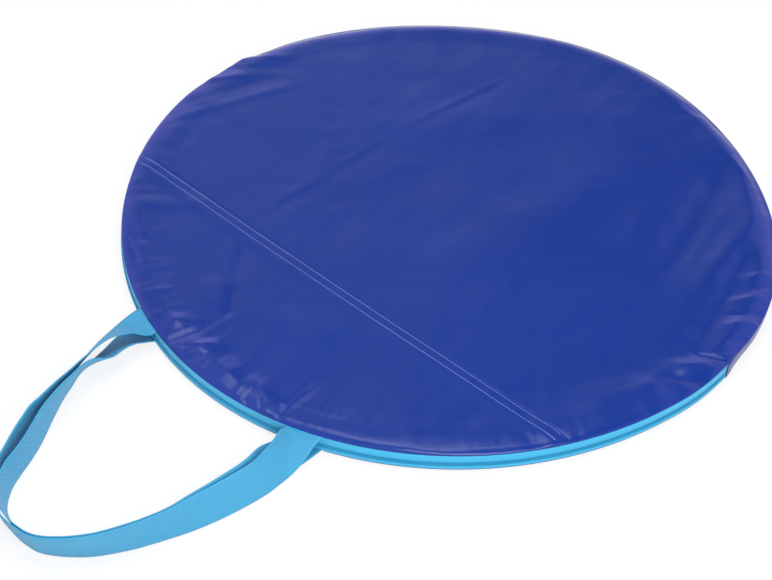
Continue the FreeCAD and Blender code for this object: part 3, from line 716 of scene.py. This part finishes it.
def rim_strip(profile, start, end, steps=None, wobble=0.0, seed=0.0, soft=True):
    """A strip round the rim through a profile of radii and heights in millimetres.

    Its middle wobbles by some millimetres. A soft strip follows the rim, and is drawn in round the
    back: its foot more than its top, and a low strip by its height.
    """
    shape = bmesh.new()
    x, y = math.cos(start) * MM, math.sin(start) * MM
    verts = [shape.verts.new((radius * x, radius * y, height * MM)) for radius, height in profile]
    edges = [shape.edges.new(pair) for pair in zip(verts, verts[1:])]
    steps = steps or int((end - start) * RIM / (3.4 * MM))
    bmesh.ops.spin(shape, geom=verts + edges, cent=(0, 0, 0), axis=(0, 0, 1), angle=end - start,
                   steps=steps, use_merge=abs(end - start - 2 * math.pi) < 1e-6)
    bmesh.ops.remove_doubles(shape, verts=shape.verts, dist=0.01 * MM)
    heights = [height for radius, height in profile]
    low, high = min(heights), max(heights)
    level = (low + high) / 2 * MM
    face = min(shape.faces, key=lambda each: abs(each.calc_center_median().z - level))
    face.normal_update()
    if face.normal.dot(face.calc_center_median()) < 0:
        bmesh.ops.reverse_faces(shape, faces=shape.faces)
    middle = (start + end) / 2

    def where(vert):
        angle = (polar(vert.co)[1] - middle + math.pi) % (2 * math.pi)
        return angle * RIM, vert.co.z - low * MM

    map_lie(shape, where)
    tall = high - low > 3
    for vert in shape.verts:
        angle = polar(vert.co)[1]
        x, y = math.cos(angle), math.sin(angle)
        share = (vert.co.z / MM - low) / (high - low) if tall else smooth(low, 2, 27)
        grain = noise.noise(Vector((x * 14, y * 14, vert.co.z * 60 + seed)))
        fine = noise.noise(Vector((x * 45, y * 45, seed)))
        loose = wobble * MM * (grain + 0.4 * fine) * math.sin(math.pi * min(1, max(0, share)))
        if soft:
            back = drawn_in(angle)
            drawn = DRAWN_IN * back * (DRAWN_FOOT - DRAWN_LESS * share)
            spread(vert, zip_swell(angle) + loose - drawn)
            vert.co.z -= DRAWN_DOWN * back * smooth(vert.co.z, WALL_FOOT, SEAM_HEIGHT)
    return shape


# Profiles of the strips round the rim: radii and heights in millimetres. The binding's heights are
# from its middle.
UPPER_TAPE = ((469.6, 12.0), (470.0, 13.6), (470.0, 17), (470.0, 21), (470.2, 24), (470.9, 26.0),
              (470.5, 27.3))
LOWER_TAPE = ((466.8, 3.1), (469.9, 3.0), (470.4, 4.2), (470.0, 7), (469.8, 9.6), (469.6, 11.3))
BACK_WALL = ((469.6, 2.6), (470.2, 4), (470.5, 9), (470.6, 14), (470.5, 20), (470.2, 25), (469.9, 28.2))
PATCH = ((470.6, 2.8), (471.1, 4), (471.3, 12), (471.3, 20), (471.2, 26), (470.7, 27.6))
BINDING = ((469.2, -0.95), (469.2, 0.95), (466.2, 0.95), (465.8, 0.5), (465.8, -0.5), (466.2, -0.95))
NET_BORDER = ((398.4, 25.9), (398.9, 26.7), (404.8, 26.8), (410.7, 26.7), (411.2, 25.9), (410.7, 25.3),
              (404.8, 25.2), (398.9, 25.3), (398.4, 25.9))

# The zip's tapes with their profiles, finishes, widths in millimetres and solids, and its coils with
# their heights, the way their teeth lean and their solids.
TAPES = (
    ("upper_zip_band", UPPER_TAPE, "upper_tape", 15.8, ("upper_zip_tape", "upper_zip_tape_ends")),
    ("lower_zip_band", LOWER_TAPE, "lower_tape", 11.7, ("lower_zip_tape",)),
)
COILS = (
    ("upper_zip_teeth", 13.1, 1, ("upper_zip_coil", "upper_zip_coil_ends")),
    ("lower_zip_teeth", 10.3, -1, ("lower_zip_coil",)),
)
TOOTH, TOOTH_PITCH, TOOTH_LEAN = (1.05 * MM, 0.98 * MM, 1.42 * MM), 2.2 * MM, math.radians(14)


def make_zip():
    """Both tapes, and the two coils tooth by tooth."""
    length = (ZIP_END - ZIP_START) * RIM
    for name, profile, finish, width, nodes in TAPES:
        shape = rim_strip(profile, ZIP_START, ZIP_END, wobble=0.25)
        tape = piece(name, shape, finish, slot="zip_tape")
        give_thickness(tape, 0.6 * MM)
        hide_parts(*nodes)
        hold(tape, name.startswith("upper"))
    count = 24 * int(length / TOOTH_PITCH / 24)
    free = (length - count * TOOTH_PITCH) / 2
    for name, height, lean, nodes in COILS:
        shape = bmesh.new()
        first = bead(shape, TOOTH, (471.2 * MM, 0, height * MM))
        start = ZIP_START + (free + (0.5 + 0.25 * lean) * TOOTH_PITCH) / RIM
        bmesh.ops.rotate(shape, verts=first, cent=(0, 0, height * MM),
                         matrix=Matrix.Rotation(TOOTH_LEAN * lean, 3, "X"))
        bmesh.ops.transform(shape, verts=first, matrix=Matrix.Rotation(start, 4, "Z"))
        repeat(shape, first, count, turn=TOOTH_PITCH / RIM)
        for vert in shape.verts:
            spread(vert, zip_swell(polar(vert.co)[1]))
        coil = piece(name, shape, "coil", slot="zip_coil")
        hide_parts(*nodes)
        hold(coil, lean > 0)


def make_back_wall():
    """The wall of cloth round the back, from one end of the zip to the other."""
    start, end = ZIP_END - 2 * math.pi, ZIP_START
    wall = lined("back_cloth", rim_strip(BACK_WALL, start, end, wobble=0.7, seed=5))
    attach(wall, "base")
    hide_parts("back_wall")


def make_base():
    """The base cloth: laid on the floor, and turned up to its seam round the edge."""
    flat_share, turn_radius, turn_height = 0.93, 3.6 * MM, 3.1 * MM
    shape = disc(120)
    for vert in shape.verts:
        share, angle = polar(vert.co)
        turn = smooth(share, flat_share, 1.0) * math.radians(90)
        radius = RIM * min(share / flat_share, 1) * 0.9915 + turn_radius * math.sin(turn)
        swell = zip_swell(angle) * smooth(radius, 300 * MM, RIM)
        swell -= DRAWN_FOOT * DRAWN_IN * drawn_in(angle) * smooth(radius, 400 * MM, RIM)
        crease = 0.25 * MM * (0.5 + noise.noise(vert.co * 9)) * (1 - smooth(share, 0.85, 0.95))
        vert.co *= (radius + swell) / max(share, 1e-9)
        vert.co.z = turn_height * (1 - math.cos(turn)) + crease
    face_out(shape)
    if shape.faces[0].normal.z > 0:
        bmesh.ops.reverse_faces(shape, faces=shape.faces)
    base = lined("base_cloth", shape)
    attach(base, "base")
    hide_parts("base_panel")


def make_bindings():
    """The bindings inside the rim's seams, which leave room for the handles' feet."""
    left, right = [math.atan2(-math.sqrt(RIM ** 2 - x ** 2), x) % (2 * math.pi) for x in (-0.142, 0.150)]
    room = 27 * MM / (RIM * math.cos(math.radians(18)))
    spans = ((left + room, right - room), (right + room, left - room + 2 * math.pi))
    for name, height, nodes in (("base_binding_tape", 2.05, ("base_binding",)),
                                ("top_binding_tape", 26.9, ("lid_binding", "back_binding"))):
        profile = [(radius, height + rise) for radius, rise in BINDING + BINDING[:1]]
        shape = bmesh.new()
        for start, end in spans:
            add_part(shape, rim_strip(profile, start, end))
        bmesh.ops.remove_doubles(shape, verts=shape.verts, dist=0.02 * MM)
        rims = [edge for edge in shape.edges if edge.is_boundary]
        bmesh.ops.holes_fill(shape, edges=rims, sides=12)
        face_out(shape)
        tape = piece(name, shape, "binding", slot="binding")
        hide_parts(*nodes)
        hold(tape, name.startswith("top"))


def make_patches():
    """The cloth tabs over the zip's two ends."""
    for name, middle, node in (("closed_end_patch", 175.15, "closed_end_tab"),
                               ("open_end_patch", 4.85, "open_end_tab")):
        start, end = math.radians(middle - 0.85), math.radians(middle + 0.85)
        tab = lined(name, rim_strip(PATCH, start, end, steps=8, wobble=0.2))
        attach(tab, "base")
        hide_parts(node)


# The handles' loops from the right foot to the left one. Each row gives the lower edge of the
# webbing in millimetres: its place to the right and its distance out from the line where the handle
# bends, then its height as a share of the foot's, and its lean in degrees, 0 flat and 90 on edge.
OUTER_LOOP = (
    (176, -18, 1, 0), (176, -6, 0.84, 2), (177, 8, 0.5, 18), (177, 24, 0.16, 38), (177, 46, 0, 52),
    (177, 82, 0, 63), (169, 133, 0, 68), (157, 178, 0, 75), (143, 214, 0, 86), (122, 259, 0, 94),
    (93, 302, 0, 101), (54, 334, 0, 107), (24, 341, 0, 108), (-8, 339, 0, 107), (-32, 334, 0, 103),
    (-50, 321, 0, 98), (-66, 301, 0, 95), (-79, 279, 0, 94), (-90, 255, 0, 95), (-99, 234, 0, 96),
    (-110, 214, 0, 93), (-120, 193, 0, 85), (-138, 157, 0, 73), (-149, 129, 0, 66),
    (-160, 103, 0, 59), (-168, 80, 0.04, 54), (-172, 52, 0.28, 44), (-170, 25, 0.66, 28),
    (-167, 0, 1, 0),
)
INNER_LOOP = (
    (174, 0, 1, 0), (173, 26, 1, 14), (173, 52, 0.5, 36), (171, 84, 0, 56), (164, 131, 0, 66),
    (152, 176, 0, 77), (138, 212, 0, 89), (117, 256, 0, 97), (89, 297, 0, 104), (52, 328, 0, 110),
    (24, 335, 0, 111), (-6, 333, 0, 108), (-28, 326, 0, 102), (-43, 314, 0, 97), (-57, 295, 0, 94),
    (-67, 273, 0, 92), (-76, 250, 0, 92), (-86, 228, 0, 93), (-97, 208, 0, 92), (-109, 188, 0, 86),
    (-128, 154, 0, 75), (-140, 127, 0, 68), (-150, 105, 0, 55), (-156, 82, 0, 39),
    (-161, 54, 0.6, 34), (-167, 27, 0.9, 20), (-171, 0, 1, 4),
)
# Each handle with its loop, the height of its feet, the body they are sewn to, its own body, how far
# its feet reach into the bag, and how far out from the hinge line it still bends, in millimetres.
HANDLES = (
    ("outer_webbing", OUTER_LOOP, 26.95, "lid", "outer_handle", 21, 16),
    ("inner_webbing", INNER_LOOP, 2.05, "base", "inner_handle", 12, 100),
)
HINGE_LINE = -460 * MM             # where the handles bend
WEBBING_FLOOR = 2.0 * MM           # the lowest that its lower edge comes


def between(rows, place):
    """The value of each column at a place along rows, on a curve through all of them."""
    step = min(int(place), len(rows) - 2)
    share = place - step
    around = [rows[min(max(step + shift, 0), len(rows) - 1)] for shift in (-1, 0, 1, 2)]
    values = []
    for before, here, there, after in zip(*around):
        bend = 2 * before - 5 * here + 4 * there - after
        twist = 3 * (here - there) + after - before
        values.append(here + 0.5 * share * (there - before + share * (bend + share * twist)))
    return values


def webbing_strip(stations, foot_height, inside):
    """A band of webbing along a loop's stations, with a foot into the seam at each end."""
    shape = grid(300, 12)
    rows = [(stations[0][0], -inside, 1, 0), *stations, (stations[-1][0], -inside, 1, 0)]
    last = len(rows) - 1

    def edge(place):
        """The place and the lean of the lower edge."""
        side, out, share, lean = between(rows, place)
        height = WEBBING_FLOOR + max(0.0, share) * (foot_height - WEBBING_FLOOR)
        return Vector((side * MM, HINGE_LINE - out * MM, height)), math.radians(max(0.0, lean))

    frames = {}
    length, before = 0.0, None
    for column in sorted({round(vert.co.x, 6) for vert in shape.verts}):
        place = (column + 1) / 2 * last
        near, lean = edge(place)
        ahead = edge(min(place + 0.15, last))[0] - edge(max(place - 0.15, 0))[0]
        ahead.z = 0
        ahead.normalize()
        inward = Vector((ahead.y, -ahead.x, 0))
        across_way = inward * math.cos(lean) + Vector((0, 0, math.sin(lean)))
        out_way = Vector((0, 0, math.cos(lean))) - inward * math.sin(lean)
        length += (near - before).length if before else 0
        before = near
        frames[column] = (near, across_way, out_way, length)

    map_lie(shape, lambda vert: (frames[round(vert.co.x, 6)][3], (vert.co.y + 1) / 2 * WEBBING_WIDTH))
    for vert in shape.verts:
        near, across_way, out_way, run = frames[round(vert.co.x, 6)]
        at_end = abs(vert.co.x) > 1 - 1e-6
        share = (vert.co.y + 1) / 2
        slack = smooth(run, 20 * MM, 120 * MM) * smooth(length - run, 20 * MM, 120 * MM)
        cup = 1.4 * MM * math.sin(math.pi * share) * noise.noise(near * 9)
        wave = 1.0 * MM * share * noise.noise(near * 20)
        vert.co = near + across_way * (share * WEBBING_WIDTH) + out_way * ((cup + wave) * slack)
        if at_end:
            vert.co.y = -math.sqrt((RIM - 5 * MM) ** 2 - vert.co.x ** 2)
    face_out(shape)
    return shape, length


def make_handles():
    """The two webbing handles, each laid along its loop from foot to foot."""
    for name, stations, height, body, moving, inside, bend in HANDLES:
        shape, length = webbing_strip(stations, height * MM, inside)
        strap = piece(name, shape, "webbing", slot="webbing")
        give_thickness(strap, WEBBING, 0.0)
        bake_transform(strap)
        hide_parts(moving + "_loop", moving + "_feet")


# The net, and the half sizes of its cords' section and of its knots.
NET_RADIUS, NET_PITCH, NET_HEIGHT = 397 * MM, 52 * MM, 26.0 * MM
CORD = (0.75 * MM, 1.45 * MM)
KNOT, KNOT_HEADING = (3.1 * MM, 2.5 * MM, 1.15 * MM), 0.7


def add_cord(shape, turn, offset):
    """Adds a straight cord at a distance from the net's middle."""
    half = math.sqrt(NET_RADIUS ** 2 - offset ** 2)
    upright = Matrix.Rotation(math.radians(90), 4, "Y") @ Matrix.Diagonal((*CORD, 1, 1))
    form = turn @ Matrix.Translation((-half, offset, NET_HEIGHT)) @ upright
    section = bmesh.ops.create_circle(shape, segments=8, radius=1, matrix=form)["verts"]
    ring = list({edge for vert in section for edge in vert.link_edges})
    made = bmesh.ops.extrude_edge_only(shape, edges=ring)["geom"]
    moved = [each for each in made if isinstance(each, bmesh.types.BMVert)]
    bmesh.ops.translate(shape, verts=moved, vec=turn @ Vector((2 * half, 0, 0)))


def make_net():
    """The net's cords with a knot at each crossing, and the tape round its border."""
    reach = int(NET_RADIUS / NET_PITCH)
    offsets = [line * NET_PITCH for line in range(-reach, reach + 1)]
    shape = bmesh.new()
    for way in (0, 90):
        for offset in offsets:
            add_cord(shape, Matrix.Rotation(math.radians(way), 4, "Z"), offset)
    face_out(shape)
    for offset in offsets:
        count = 2 * int(math.sqrt((NET_RADIUS - 6 * MM) ** 2 - offset ** 2) / NET_PITCH) + 1
        add_row(shape, count, NET_PITCH, KNOT, (offset, NET_HEIGHT), 10, 7, KNOT_HEADING)
    net = piece("net_cords", shape, "net", slot="net_cord")
    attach(net, "base")
    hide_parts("net")

    shape = rim_strip(NET_BORDER, 0, 2 * math.pi, steps=320, soft=False)
    face_out(shape)
    stitch, pitch = (0.3 * MM, 1.6 * MM, 0.25 * MM), 5
    for radius in (400.5, 409.0):
        count = 24 * int(2 * math.pi * radius / pitch / 24)
        line = bmesh.new()
        first = bead(line, stitch, (radius * MM, 0, 26.75 * MM), 5, 4)
        repeat(line, first, count, turn=2 * math.pi / count)
        add_part(shape, line)
    border = piece("net_border_tape", shape, "border", slot="net_tape")
    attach(border, "base")
    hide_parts("net_border")


def make_balls():
    """Three balls, let down: pressed flat, dented, and creased round the dent."""
    half_width, half_height = 53.2 * MM, 10.5 * MM
    for index in (1, 2, 3):
        node = "ball_%d" % index
        low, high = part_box(node)
        middle = Vector([(a + b) / 2 for a, b in zip(low, high)])
        middle.z = low[2] + half_height
        shape = bmesh.new()
        for vert in bead(shape, (1, 1, 1), (0, 0, 0), 72, 36):
            x, y, z = vert.co
            reach, angle = math.hypot(x, y), math.atan2(y, x)
            crease = noise.noise(Vector((math.cos(angle) * 2.2, math.sin(angle) * 2.2, index * 3.0)))
            full = half_width * (1 - 0.012 * abs(crease))
            level = math.copysign(abs(z) ** 0.8, z) * 0.97
            if z > 0:
                level -= 0.46 * bump(reach, 0.62 + 0.10 * crease)
                level += 0.10 * crease * smooth(reach, 0.15, 0.5) * (1 - smooth(reach, 0.75, 0.98))
            vert.co = middle + Vector((x * full, y * full, level * half_height))
        valve = Matrix.Translation(middle + Vector((0.022, 0.010, 0.60 * half_height)))
        bmesh.ops.create_cone(shape, cap_ends=True, segments=20, radius1=3.6 * MM, radius2=3.0 * MM,
                              depth=1.6 * MM, matrix=valve)
        ball = piece("let_down_%s" % node, shape, "ball", slot="ball_rubber")
        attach(ball, "base")
        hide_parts(node)


def dress_frame():
    """Finishes and eased edges for the rigid parts that come from the frame."""
    dressed = {"zip_slider": ("slider", 0.3), "slider_plate": ("slider", 0.2), "pull_tab": ("slider", 0.3),
               "net_hooks": ("hook", 0.4), "pump_barrel": ("pump", 0.4), "pump_cap": ("trim", 0.5),
               "pump_plunger": ("trim", 0.3), "pump_grip": ("trim", 1.2), "pump_needle": ("needle", 0.2)}
    for index in range(1, 6):
        dressed["ring_tube_%d" % index] = ("ring", 0)
        dressed["ring_sleeve_%d" % index] = ("sleeve", 0.4)
        dressed["leg_%d" % index] = ("leg", 0.4)
        dressed["leg_foot_%d" % index] = ("foot", 1.0)
    for node, (finish, edge) in dressed.items():
        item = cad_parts[node]
        item.data.materials.clear()
        item.data.materials.append(FINISHES[finish].material)
        if edge:
            rounding = item.modifiers.new("eased_edges", "BEVEL")
            rounding.width = edge * MM
            rounding.segments = 2
            rounding.limit_method = "ANGLE"
            rounding.angle_limit = math.radians(50)


# Each lamp with its place in metres as the camera sees it, its width in metres and its power in watts.
LAMPS = (("overhead", (-0.25, 0.05, 2.6), 1.8, 26), ("front", (0.4, -2.0, 1.5), 1.3, 30))
SKY_LIGHT = 0.62                   # the surrounding's light on the bag
GLOW_LIGHT, GLOW_TINT = 1.5, (0.48, 0.54)     # lilac glow, and how much red and green it lacks


def make_stage():
    """A pale floor and two soft lamps."""
    shape = grid(2, 2, 6.0)
    bmesh.ops.translate(shape, verts=shape.verts, vec=(0, 0, -0.2 * MM))
    piece("floor", shape, "floor")
    turned = Matrix.Rotation(BAG_TURN, 3, "Z")
    for name, place, size, power in LAMPS:
        lamp = bpy.data.objects.new(name, bpy.data.lights.new(name, "AREA"))
        lamp.data.shape = "DISK"
        lamp.data.size = size
        lamp.data.energy = power
        lamp.location = turned @ Vector(place)
        lamp.rotation_euler = (-lamp.location).to_track_quat("-Z", "Y").to_euler()
        bpy.context.collection.objects.link(lamp)


def make_surrounding():
    """A white surrounding.

    Gloss sees it dimmer at the left and overhead and dark at the right, with a lilac glow low behind
    the bag and far out on both sides.
    """
    world = bpy.data.worlds.new("surrounding")
    bpy.context.scene.world = world
    sky = Nodes(world, "Background")
    x, y, z = sky.axes(sky.node("TexCoord", {}, {}, "Generated"))
    right = x * math.cos(BAG_TURN) + y * math.sin(BAG_TURN) + 0.5
    behind = y * math.cos(BAG_TURN) - x * math.sin(BAG_TURN)
    lit = sky.ramp(right, (0.22, 0.4), (0.42, 0.82), (0.69, 0.0)) * sky.ramp(z, (0.62, 1.0), (0.90, 0.3))
    glow = sky.ramp(z, (0.36, 1.0), (0.51, 0.0)) * sky.ramp(behind, (0.2, 0.25), (0.5, 1.0))
    at_right = sky.ramp(right, (0.73, 0.0), (0.86, 1.0)) * sky.ramp(z, (0.74, 1.0), (0.88, 0.0))
    for side in (at_right, sky.ramp(right, (0.04, 1.0), (0.18, 0.0))):
        glow = sky.maths("MAXIMUM", glow, side)
    seen, gloss = sky.rays()
    glow = glow * gloss
    light = SKY_LIGHT + (1 - SKY_LIGHT) * seen + gloss * (lit - SKY_LIGHT)
    sky.feed(Strength=light + GLOW_LIGHT * glow)
    red, green = [1.0 - lack * glow for lack in GLOW_TINT]
    sky.feed(Color=sky.node("CombineColor", {}, {"Red": red, "Green": green, "Blue": 1.0}))
    bpy.context.scene.view_settings.view_transform = "Standard"


def make_camera():
    """The photograph's camera: fitted to the rim's outline."""
    photo_width, focal_length = 772, 2000          # in the photograph's pixels
    pitch, roll = math.radians(43.055), math.radians(2.175)
    distance = 5.9336 * RIM
    aim = Vector((-0.1815 * RIM, -0.2906 * RIM, 0))
    turned = Matrix.Rotation(math.pi / 2 - pitch, 4, "X") @ Matrix.Rotation(roll, 4, "Z")
    camera = bpy.data.objects.new("photo_camera", bpy.data.cameras.new("photo_camera"))
    camera.data.sensor_width = 36
    camera.data.lens = focal_length / photo_width * camera.data.sensor_width
    camera.matrix_world = (Matrix.Rotation(BAG_TURN, 4, "Z") @ Matrix.Translation(aim) @ turned
                           @ Matrix.Translation((0, 0, distance)))
    bpy.context.collection.objects.link(camera)
    bpy.context.scene.camera = camera


make_camera()
make_stage()
make_surrounding()
make_back_wall()
make_base()
make_bindings()
make_patches()
make_top()
make_seam()
make_zip()
make_handles()
make_net()
make_balls()
dress_frame()
